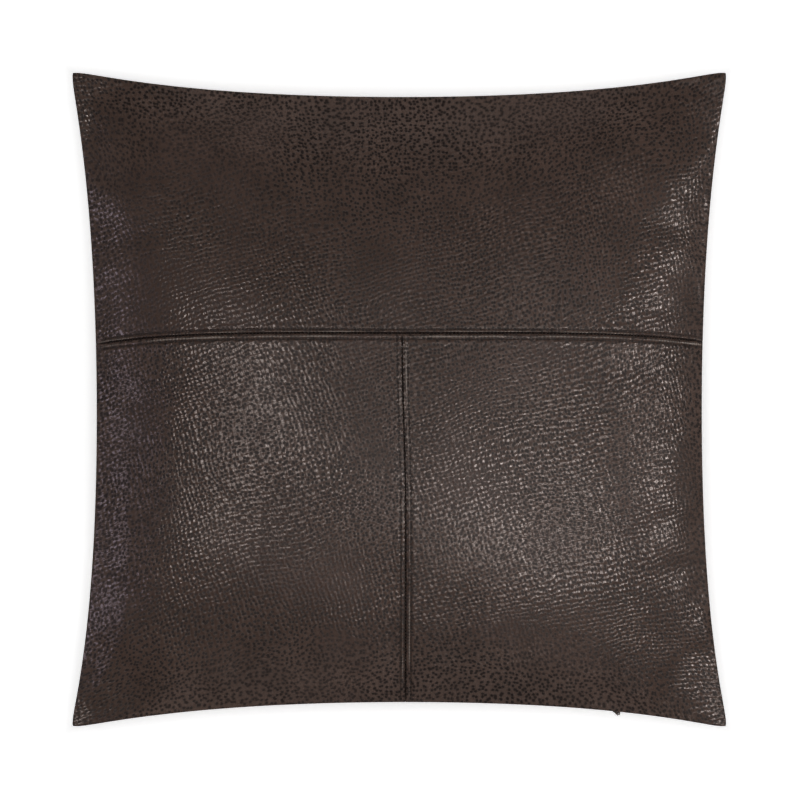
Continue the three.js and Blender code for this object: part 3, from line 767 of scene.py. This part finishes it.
def leather(name, offset):
    """Pebbled leather: domes in wandering rows, and dark pits scattered independently of them."""
    g = Graph(name)
    flat = g.add("ShaderNodeAttribute", "Vector", attribute_name="flat")
    at = g.add("ShaderNodeMapping", inputs={0: flat, 1: offset})
    pull, wander, shift = (g.drift(at, warp[0]) for warp in (PULL, WANDER, ROW_SHIFT))
    warped = g.moved(g.moved(at, pull, PULL[1]), wander, WANDER[1])
    from_pit = g.add("ShaderNodeTexVoronoi", "Distance",
                     {"Vector": warped, "Scale": GRAIN, "Randomness": 0.86}, voronoi_dimensions="2D")
    open_part = g.ranged(from_pit, *PIT_SPAN)  # 0 in the middle of a pit
    in_rows = g.moved(g.moved(warped, shift, ROW_SHIFT[1]), pull, ROW_PULL)
    turned = g.add("ShaderNodeMapping", inputs={0: in_rows, 2: (0.0, 0.0, ROW_TURN)})
    x = g.add("ShaderNodeSeparateXYZ", "X", {0: turned})
    y = x.node.outputs["Y"]
    crate = g.math("MULTIPLY", g.math("COSINE", g.math("MULTIPLY", x, ROWS)),
                   g.math("COSINE", g.math("MULTIPLY", y, ROWS)))
    crate = g.math("ADD", crate, g.math("MULTIPLY", open_part, 0.55))
    fine = g.noise(warped, 620.0, 2.0, 0.55)
    # The grain stands out more in some places than in others.
    relief = g.ranged(g.noise(at, 13.0, 2.0, 0.5), 0.30, 0.56, 0.72, 1.0)
    height = g.math("ADD", g.math("MULTIPLY", crate, relief), g.math("MULTIPLY", fine, 0.12))
    normal = g.bump(height, GRAIN_HEIGHT)
    pit_tone = g.math("MULTIPLY", g.math("SUBTRACT", 1.0, open_part),
                      g.ranged(relief, 0.72, 1.0, 0.85, 1.0, "LINEAR"))
    tone = g.mix(pit_tone, NET, PIT_AND_SEAM_SHADE)
    patch = g.ranged(g.noise(g.vector("ADD", at, (0.3, 0.1, 0.7)), 9.0, 2.0), 0.45, 0.75)
    tone = g.mix(g.math("MULTIPLY", patch, 0.4), tone, RED)
    mottle = g.ranged(g.noise(at, 30.0, 3.0), 0.3, 0.7, 0.88, 1.1)
    shade = g.add("ShaderNodeCombineColor", inputs={0: mottle, 1: mottle, 2: mottle})
    tone = g.mix(1.0, tone, shade, "MULTIPLY")
    # Light and shade painted along the seams: a pale highlight on the ridges, dark shade in the valleys
    # and stitch grooves.
    wear = g.add("ShaderNodeAttribute", "Fac", attribute_name="wear")
    tone = g.mix(g.ranged(wear, 0.05, 1.0, 0.0, 0.75, "LINEAR"), tone, RIDGE_HIGHLIGHT)
    tone = g.mix(g.ranged(wear, -0.05, -0.9, 0.0, 0.85, "LINEAR"), tone, PIT_AND_SEAM_SHADE)
    rough = g.math("ADD", g.ranged(pit_tone, 0.0, 1.0, *GLOSS), g.math("MULTIPLY", fine, 0.08))
    return g.finish(tone, rough, normal, IOR=1.45, Specular_IOR_Level=0.5)


def thread_material(name, color, light):
    g = Graph(name)
    at = g.place()
    ply = g.add("ShaderNodeTexWave", "Fac", {"Vector": at, "Scale": 520.0, "Distortion": 1.2},
                bands_direction="DIAGONAL")
    fuzz = g.noise(at, 2600.0, 2.0)
    tone = g.mix(ply, color, light)
    return g.finish(tone, g.ranged(fuzz, 0.2, 0.8, 0.55, 0.8), g.bump(ply, 0.00008))


THREAD = thread_material("thread_dark", (0.006, 0.004, 0.0035, 1), (0.016, 0.011, 0.009, 1))
LEATHERS = [leather(f"leather_{k}", (0.37 * k + 0.11, 0.53 * k, 0.29 * k)) for k in range(4)]

# ---------- The cover ----------

CELL = 2.25
BACK_CELL = 2.75
NEAR_SEAM = 10.5


def near_across(u, v):
    return np.abs(v - SEAM_V) * half_side(u) < NEAR_SEAM


def near_down(u, v):
    return (np.abs(u) * half_side(v) < NEAR_SEAM) & (v < SEAM_V)


rim_to_rim = line_stations(-1, 1, "rim", "rim", CELL)
cover = [
    panel("front_upper_leather", FRONT, rim_to_rim,
          line_stations(SEAM_V + SEAM_GAP, 1, "seam", "rim", CELL), LEATHERS[0], [near_across]),
    panel("front_lower_left_leather", FRONT, line_stations(-1, -SEAM_GAP, "rim", "seam", CELL),
          line_stations(-1, SEAM_V - SEAM_GAP, "rim", "seam", CELL), LEATHERS[1],
          [near_across, near_down]),
    panel("front_lower_right_leather", FRONT, line_stations(SEAM_GAP, 1, "seam", "rim", CELL),
          line_stations(-1, SEAM_V - SEAM_GAP, "rim", "seam", CELL), LEATHERS[2],
          [near_across, near_down]),
    panel("back_leather", BACK, line_stations(-1, 1, "rim", "rim", BACK_CELL),
          line_stations(-1, 1, "rim", "rim", BACK_CELL), LEATHERS[3]),
]
CUT = 0.579
for obj, node, flat in zip(
    cover,
    ("front_upper_panel", "front_lower_left_panel", "front_lower_right_panel", "back_panel"),
    ((CUT, 0.238), (0.2995, 0.361), (0.2995, 0.361), (CUT, CUT)),
):
    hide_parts(node)

ROW_END = 0.988
rows = [
    ("topstitch_horizontal_upper", None, UPPER_LIE.row, -ROW_END, ROW_END),
    ("topstitch_horizontal_lower", None, -LOWER_LIE.row, -ROW_END, ROW_END),
    ("topstitch_vertical_left", -LEFT_LIE.row, None, -ROW_END, SEAM_V - 0.022),
    ("topstitch_vertical_right", RIGHT_LIE.row, None, -ROW_END, SEAM_V - 0.022),
]
for node, fixed_u, fixed_v, start, end in rows:
    obj = row_on_front(node + "_stitches", fixed_u, fixed_v, start, end, THREAD)
    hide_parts(node)


def rim_row(count_from, shell_scale, inset, skip_zip, length, width, material, name):
    """Stitches around the knife edge, inset from it, one side after another."""
    centres, along = [], []
    t = np.linspace(-1.0, 1.0, 900)
    for side in range(4):
        fixed = np.full(len(t), 1.0 if side < 2 else -1.0)
        u, v = (t, fixed) if side % 2 == 0 else (fixed, t)
        x, y = plan(u, v)
        line = np.stack([x, y, np.zeros(len(t))], axis=-1) * shell_scale
        tangent = np.gradient(line, axis=0)
        tangent /= np.linalg.norm(tangent, axis=1, keepdims=True)
        inward = np.stack([-tangent[:, 1], tangent[:, 0], 0 * t], axis=-1)
        inward *= -np.sign(np.sum(inward * line, axis=1, keepdims=True))
        line = line + inward * inset
        run = np.concatenate([[0], np.cumsum(np.linalg.norm(np.diff(line, axis=0), axis=1))])
        at = np.arange(count_from, run[-1] - count_from, PITCH)
        if skip_zip and side == 2:
            at = at[np.abs(np.interp(at, run, t)) > ZIP_U + 0.02]
        centres.append(np.stack([np.interp(at, run, line[:, c]) for c in range(3)], axis=-1))
        along.append(np.stack([np.interp(at, run, tangent[:, c]) for c in range(3)], axis=-1))
    centres, along = np.concatenate(centres), np.concatenate(along)
    centres[:, 2] = EDGE_PLANE
    up = np.tile([0.0, 0.0, 1.0], (len(centres), 1))
    return beads(name, centres, along, up, length, width, 0.42, material)


def thin_sheet(name, shell, u_range, v_range, depths, count, material, waving=None):
    """A closed sheet between two depths under a shell, over a rectangle of the grid."""
    us, vs = np.linspace(*u_range, count[0] + 1), np.linspace(*v_range, count[1] + 1)
    u, v = np.meshgrid(us, vs, indexing="ij")
    p, n = on_shell(shell, u, v), normals(shell, u, v)
    if waving is not None:
        p = p - n * waving(u, v)[..., None]
    layers = [p - n * depth for depth in depths]
    for layer in layers:
        least = EDGE_PLANE + shell.face * 0.12
        clamp = np.maximum if shell.face > 0 else np.minimum
        layer[..., 2] = clamp(layer[..., 2], least)
    keep = np.ones((count[0], count[1]), bool)
    faces = lattice_faces(keep, np.zeros_like(keep), 1, shell.face < 0)
    points = np.concatenate([layer.reshape(-1, 3) for layer in layers])
    return add_object(name, points, faces, material, sharp=60.0)


obj = rim_row(4.0, 1.0, 1.0, True, 2.3, 0.5, THREAD, "perimeter_stitches")
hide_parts("perimeter_seam_thread")

# The threads that close the two front seams lie between the panels, below the fold.
for node, fixed_u, fixed_v, start, end in (
    ("horizontal_seam_thread", None, 0.0, -0.985, 0.985),
    ("vertical_seam_thread", 0.0, None, -0.985, SEAM_V - 0.004),
):
    obj = row_on_front(node + "_stitches", fixed_u, fixed_v, start, end, THREAD,
                       length=2.3, width=0.5, height=0.5, lift=-0.2)
    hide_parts(node)

# ---------- Care label, inside the cover against the back ----------

LABEL_U = (-0.965, -0.8)
LABEL_V = (-0.56, -0.44)


def cloth_material(name, color, dark, per_mm, rough):
    """A plain weave: threads crossing at per_mm to the millimetre, with slubs."""
    g = Graph(name)
    at = g.place()
    threads = {"Vector": at, "Scale": per_mm / MM / 2, "Distortion": 0.6}
    warp, weft = (g.add("ShaderNodeTexWave", "Fac", threads, bands_direction=way) for way in "XY")
    weave = g.math("MULTIPLY", warp, weft)
    slub = g.noise(at, 160.0, 3.0)
    share = g.math("ADD", g.math("MULTIPLY", weave, 0.6), g.math("MULTIPLY", slub, 0.4))
    return g.finish(g.mix(share, dark, color), g.ranged(slub, 0.3, 0.7, rough - 0.08, rough),
                    g.bump(weave, 0.00006), Sheen_Weight=0.2)


LABEL_CLOTH = cloth_material("label_satin", (0.80, 0.76, 0.69, 1), (0.62, 0.58, 0.52, 1), 0.7, 0.55)
obj = thin_sheet("care_label_blank", BACK, LABEL_U, LABEL_V, (2.7, 3.1), (24, 18), LABEL_CLOTH,
                 lambda u, v: 0.25 + 0.2 * np.sin(u * 190.0) * np.sin(v * 60.0))
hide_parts("care_label")

# ---------- Zip ----------

TAPE = (5.2, 16.0, 1.85, 2.15)  # in from the edge, and from the slit's plane
COIL_MIDDLE = (5.8, 1.1)
COIL_RADII = (0.68, 0.38)
COIL_WIRE = 0.2
COIL_PITCH = 1.3
ZIP_ROW = (9.3, 1.6)
BARTACK_AT = 189.8


def on_arc(s, inward, z):
    """A point by the zip: s along it from its middle, inward from the edge, z from the slit."""
    angle = np.asarray(s) / ARC_RADIUS
    radius = ARC_RADIUS + inward
    x = ARC_X + radius * np.sin(angle)
    y = ARC_Y - ARC_RADIUS + radius * np.cos(angle)
    return np.stack([x, y, EDGE_PLANE + z + 0 * x], axis=-1)


TAPE_CLOTH = cloth_material("tape_weave", (0.030, 0.021, 0.018, 1), (0.012, 0.008, 0.007, 1), 1.1,
                            0.75)


def coil_material():
    g = Graph("coil_nylon")
    cloud = g.noise(g.place(), 300.0, 2.0)
    tone = g.mix(cloud, (0.020, 0.014, 0.012, 1), (0.032, 0.023, 0.020, 1))
    return g.finish(tone, g.ranged(cloud, 0.3, 0.7, 0.28, 0.4), g.bump(cloud, 0.00002))


COIL_NYLON = coil_material()
STEPS_ALONG = 280
for half, face in (("front", 1), ("back", -1)):
    s = np.linspace(-TAPE_HALF_LENGTH, TAPE_HALF_LENGTH, STEPS_ALONG + 1)
    across = np.linspace(TAPE[0], TAPE[1], 9)
    grid_s, grid_w = np.meshgrid(s, across, indexing="ij")
    ripple = 0.06 * np.sin(grid_s / 9.0) * (grid_w - TAPE[0]) / 10.0
    layers = [on_arc(grid_s, grid_w, face * (TAPE[k] + ripple)) for k in (3, 2)]
    keep = np.ones((STEPS_ALONG, 8), bool)
    faces = lattice_faces(keep, np.zeros_like(keep), 1, face < 0)
    obj = add_object(f"zip_tape_{half}_woven", np.concatenate([a.reshape(-1, 3) for a in layers]),
                     faces, TAPE_CLOTH, sharp=50.0)
    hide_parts(f"zip_tape_{half}")

    turns = 2 * COIL_HALF_LENGTH / COIL_PITCH
    around = np.linspace(0, 2 * math.pi * turns, int(turns * 14))
    run = -COIL_HALF_LENGTH + around / (2 * math.pi) * COIL_PITCH
    centre = on_arc(run, COIL_MIDDLE[0] + COIL_RADII[0] * np.cos(around),
                    face * (COIL_MIDDLE[1] + COIL_RADII[1] * np.sin(around)))
    tangent = np.gradient(centre, axis=0)
    tangent /= np.linalg.norm(tangent, axis=1, keepdims=True)
    side = np.cross(tangent, [1.0, 0.0, 0.0])
    side /= np.linalg.norm(side, axis=1, keepdims=True)
    other = np.cross(tangent, side)
    ring = np.linspace(0, 2 * math.pi, 6, endpoint=False)
    points = centre[:, None] + COIL_WIRE * (
        side[:, None] * np.cos(ring)[None, :, None] + other[:, None] * np.sin(ring)[None, :, None]
    )
    k = np.arange(len(centre) - 1)[:, None] * 6
    a, b = np.arange(6)[None, :], (np.arange(6)[None, :] + 1) % 6
    quads = np.stack([k + a, k + 6 + a, k + 6 + b, k + b], axis=-1).reshape(-1, 4).tolist()
    last = (len(centre) - 1) * 6
    quads += [[0, 1, 2, 3, 4, 5], [last + 5 - c for c in range(6)]]
    obj = add_object(f"zip_coil_{half}_turns", points.reshape(-1, 3), quads, COIL_NYLON, sharp=0)
    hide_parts(f"zip_coil_{half}")

    at = np.arange(-TAPE_HALF_LENGTH + 3.0, TAPE_HALF_LENGTH - 2.0, PITCH)
    p = on_arc(at, ZIP_ROW[0], face * ZIP_ROW[1])
    ahead = on_arc(at + 1.0, ZIP_ROW[0], face * ZIP_ROW[1])
    up = np.tile([0.0, 0.0, -float(face)], (len(at), 1))
    obj = beads(f"zip_stitches_{half}", p, ahead - p, up, 2.3, 0.5, 0.4, THREAD)
    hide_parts(f"zip_stitching_{half}")

for end, face in (("left", -1), ("right", 1)):
    at = face * BARTACK_AT + np.linspace(-0.6, 0.6, 5)
    p, ahead = on_arc(at, 3.5, 0.0), on_arc(at, 4.5, 0.0)
    up = np.tile([0.0, 0.0, 1.0], (len(p), 1))
    obj = beads(f"zip_bartack_{end}_stitches", p, ahead - p, up, 4.9, 0.36, 0.5, THREAD)
    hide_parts(f"zip_bartack_{end}")


def metal_material():
    g = Graph("zip_metal_painted")
    at = g.place()
    speck = g.noise(at, 900.0, 3.0)
    worn = g.ranged(g.noise(at, 260.0, 2.0), 0.62, 0.72)
    tone = g.mix(worn, (0.040, 0.029, 0.024, 1), (0.11, 0.085, 0.068, 1))
    rough = g.ranged(speck, 0.3, 0.7, 0.28, 0.42)
    return g.finish(tone, rough, g.bump(speck, 0.00002), Metallic=0.6)


METAL = metal_material()
for node in ("zip_slider", "zip_pull"):
    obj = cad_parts[node]
    obj = bpy.data.objects[obj] if isinstance(obj, str) else obj
    obj.data.materials.clear()
    obj.data.materials.append(METAL)

# ---------- Insert ----------

CASING_WAVES = waves(31, 10, 22, 60)


def casing_wave(u, v):
    x, y = plan(u, v)
    return 0.5 + 0.5 * rippled(CASING_WAVES, x, y) * smooth(rim_distance(u, v) / 10.0)


CASING_CLOTH = cloth_material("casing_cotton", (0.83, 0.80, 0.74, 1), (0.66, 0.63, 0.57, 1), 1.2, 0.85)
CASING_THREAD = thread_material("thread_pale", (0.74, 0.72, 0.66, 1), (0.88, 0.86, 0.81, 1))
for half, shell in (("front", CASING_FRONT), ("back", CASING_BACK)):
    obj = thin_sheet(f"casing_{half}_cloth", shell, (-1, 1), (-1, 1), (0.0, 0.35), (150, 150),
                     CASING_CLOTH, casing_wave)
    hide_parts(f"insert_casing_{half}")
obj = rim_row(4.0, 1.0 - INSERT_IN / CORNER_HALF, 0.9, False, 2.3, 0.45, CASING_THREAD,
              "insert_seam_stitches")
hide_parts("insert_seam_thread")

FILL_WAVES = waves(41, 12, 18, 70)


def filling():
    count = 110
    lines = np.linspace(-1, 1, count + 1)
    u, v = np.meshgrid(lines, lines, indexing="ij")
    x, y = plan(u, v)
    sides = []
    for shell in (FILL_TOP, FILL_BOTTOM):
        lump = 0.9 * rippled(FILL_WAVES, x + 40 * shell.face, y) * smooth(rim_distance(u, v) / 12.0)
        sides.append(on_shell(shell, u, v) - normals(shell, u, v) * (1.2 + lump)[..., None]
                     * smooth(rim_distance(u, v) / 4.0)[..., None])
    rim = (np.abs(u) == 1) | (np.abs(v) == 1)
    number = np.arange(u.size).reshape(u.shape)
    below = np.where(rim, number, number + u.size)
    sides[0][rim] = 0.5 * (sides[0][rim] + sides[1][rim])
    faces = []
    for table, flip in ((number, False), (below, True)):
        quads = grid_quads(table)
        faces += (quads[:, ::-1] if flip else quads).tolist()
    points, faces = compact(np.concatenate([p.reshape(-1, 3) for p in sides]), faces)
    g = Graph("fibre_polyester")
    at = g.place()
    tangle = g.noise(at, 420.0, 4.0, 0.65)
    clump = g.noise(at, 60.0, 3.0)
    share = g.math("ADD", g.math("MULTIPLY", tangle, 0.6), g.math("MULTIPLY", clump, 0.4))
    tone = g.mix(share, (0.70, 0.69, 0.66, 1), (0.93, 0.92, 0.90, 1))
    material = g.finish(tone, g.ranged(tangle, 0.3, 0.7, 0.85, 0.95), g.bump(tangle, 0.0012),
                        Sheen_Weight=0.4)
    return add_object("fibre_filling", points, faces, material, sharp=0)


obj = filling()
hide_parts("insert_fill")

# ---------- Floor, camera and light ----------

SEEN_WIDER = 1.0324  # the outline against the floor, as seen from the camera's height
# The painted shadow round the pillow's outline on the floor.
SHADE_SIDE = EDGE_HALF * SEEN_WIDER * MM
SHADE_CORNER = CORNER_HALF * SEEN_WIDER * MM
SHADE_BEND = 2.4
SHADE_WIDTH = 0.0085
SHADE_GLOW = (0.52, 0.67)  # the floor's own light at the outline, and SHADE_WIDTH out from it
FLOOR_GLOW_SPAN = (0.45, 1.1)


def stage_floor():
    g = Graph("floor")
    # A shadow is painted into its own light close around the pillow's outline, as the camera sees that
    # against it.
    where = g.place()
    out_from_middle = g.vector("LENGTH", where, (0, 0, 0))
    x = g.add("ShaderNodeSeparateXYZ", "X", {0: where})
    x, y = g.math("ABSOLUTE", x), g.math("ABSOLUTE", x.node.outputs["Y"])
    out = []
    for a, b in ((x, y), (y, x)):
        curve = g.math("MULTIPLY", g.math("POWER", g.math("DIVIDE", b, SHADE_CORNER), SHADE_BEND),
                       SHADE_CORNER - SHADE_SIDE)
        out.append(g.math("SUBTRACT", g.math("SUBTRACT", a, curve), SHADE_SIDE))
    near = g.ranged(g.math("MAXIMUM", *out), 0.0, SHADE_WIDTH, *SHADE_GLOW, "LINEAR")
    glow = g.math("MAXIMUM", near, g.ranged(out_from_middle, *FLOOR_GLOW_SPAN))
    g.put(g.shader.inputs["Emission Strength"], glow)
    g.shader.inputs["Emission Color"].default_value = (1, 1, 1, 1)
    g.finish((0.9, 0.9, 0.9, 1), 0.9)
    reach = 9000.0
    corners = [(-reach, -reach, 0), (reach, -reach, 0), (reach, reach, 0), (-reach, reach, 0)]
    mesh = bpy.data.meshes.new("floor")
    mesh.from_pydata([tuple(c * MM for c in p) for p in corners], [], [(0, 1, 2, 3)])
    mesh.materials.append(g.material)
    obj = placed("floor", mesh)
    obj.location.z = -0.0004
    obj.visible_glossy = False


stage_floor()

CAMERA_HEIGHT = 2.1  # over the knife edge
FIELD = 0.656  # width that the view takes in at the knife edge
OFF_CENTRE = (0.0006, -0.0004)
camera = placed("camera", bpy.data.cameras.new("camera"))
camera.data.sensor_width = 36.0
camera.data.lens = camera.data.sensor_width * CAMERA_HEIGHT / FIELD
camera.data.clip_end = 60.0
camera.location = (OFF_CENTRE[0], OFF_CENTRE[1], EDGE_PLANE * MM + CAMERA_HEIGHT)
bpy.context.scene.camera = camera


def softbox(name, u, v, distance, size, power, color):
    """An area light placed where the front mirrors it to the camera at (u, v)."""
    p, n = outer_point(FRONT, np.array([u]), np.array([v]))
    p, n = Vector(p[0] * MM), Vector(n[0])
    to_camera = (Vector(camera.location) - p).normalized()
    away = 2.0 * n.dot(to_camera) * n - to_camera
    data = bpy.data.lights.new(name, "AREA")
    data.shape = "ELLIPSE"
    data.size, data.size_y = size
    data.energy = power
    data.color = color
    obj = placed(name, data)
    obj.location = p + away * distance
    obj.rotation_mode = "QUATERNION"
    obj.rotation_quaternion = (-away).to_track_quat("-Z", "Y")
    obj.visible_camera = False
    obj.visible_diffuse = False  # the room lights the leather, and these are only mirrored in it


SOFTBOX_AWAY = 1.6
# (u, v) on the front that mirrors the light to the camera, its width and height, and its power.
WARM = (1.0, 0.88, 0.83)
COOL = (0.90, 0.78, 1.0)
for name, u, v, size, power, color in (
    ("light_right", 0.53, -0.40, (0.18, 0.18), 6.2, WARM),
    ("light_right_inner", 0.38, -0.38, (0.22, 0.22), 2.6, WARM),
    ("light_right_low", 0.20, -0.52, (0.22, 0.22), 2.3, WARM),
    ("light_right_outer", 0.66, -0.20, (0.22, 0.22), 2.4, WARM),
    ("light_side", 0.84, -0.02, (0.16, 0.24), 5.2, WARM),
    ("light_left", -0.52, 0.00, (0.18, 0.20), 3.6, WARM),
    ("light_left_inner", -0.38, -0.20, (0.20, 0.22), 1.7, WARM),
    ("light_left_low", -0.54, -0.20, (0.20, 0.22), 1.7, WARM),
    ("light_left_foot", -0.38, -0.38, (0.25, 0.25), 0.6, WARM),
    ("light_left_upper", -0.40, 0.20, (0.25, 0.25), 0.5, WARM),
    ("light_bottom", 0.52, -0.84, (0.25, 0.20), 0.5, WARM),
    ("light_seam", 0.24, 0.05, (0.45, 0.35), 1.6, WARM),
    ("light_upper_right", 0.50, 0.45, (0.45, 0.40), 1.2, WARM),
    ("light_low_middle", -0.10, -0.55, (0.30, 0.30), 0.6, WARM),
    ("light_left_edge", -0.93, -0.20, (0.20, 0.50), 1.3, COOL),
    ("light_left_corner", -0.92, -0.62, (0.14, 0.20), 0.8, COOL),
):
    softbox(name, u, v, SOFTBOX_AWAY, size, power, color)

ROOM_SIZE = 1.5
# The room's own light: broad, and kept out of the leather's reflections.
for name, place, power in (
    ("room_over", (0.0, 0.0, 2.4), 16.5),
    ("room_left", (-2.2, 0.0, 0.3), 10.0),
    ("room_right", (2.2, 0.0, 0.3), 22.0),
    ("room_front", (0.0, -2.2, 0.3), 22.0),
    ("room_back", (0.0, 2.2, 0.3), 22.0),
):
    data = bpy.data.lights.new(name, "AREA")
    data.size = ROOM_SIZE
    data.energy = power
    obj = placed(name, data)
    obj.location = place
    obj.rotation_euler = (-Vector(place)).to_track_quat("-Z", "Y").to_euler()
    obj.visible_camera = False
    obj.visible_glossy = False

WORLD_DIM = 0.055  # its strength for all but camera rays
world = bpy.data.worlds.new("world")
bpy.context.scene.world = world
world.use_nodes = True
wt = world.node_tree
back = wt.nodes["Background"]
ray = wt.nodes.new("ShaderNodeLightPath")
level = wt.nodes.new("ShaderNodeMapRange")
level.inputs[3].default_value = WORLD_DIM
level.inputs[4].default_value = 1.0
wt.links.new(ray.outputs["Is Camera Ray"], level.inputs[0])
wt.links.new(level.outputs[0], back.inputs["Strength"])
back.inputs["Color"].default_value = (1, 1, 1, 1)
bpy.context.scene.view_settings.view_transform = "Standard"
bpy.context.scene.view_settings.look = "None"
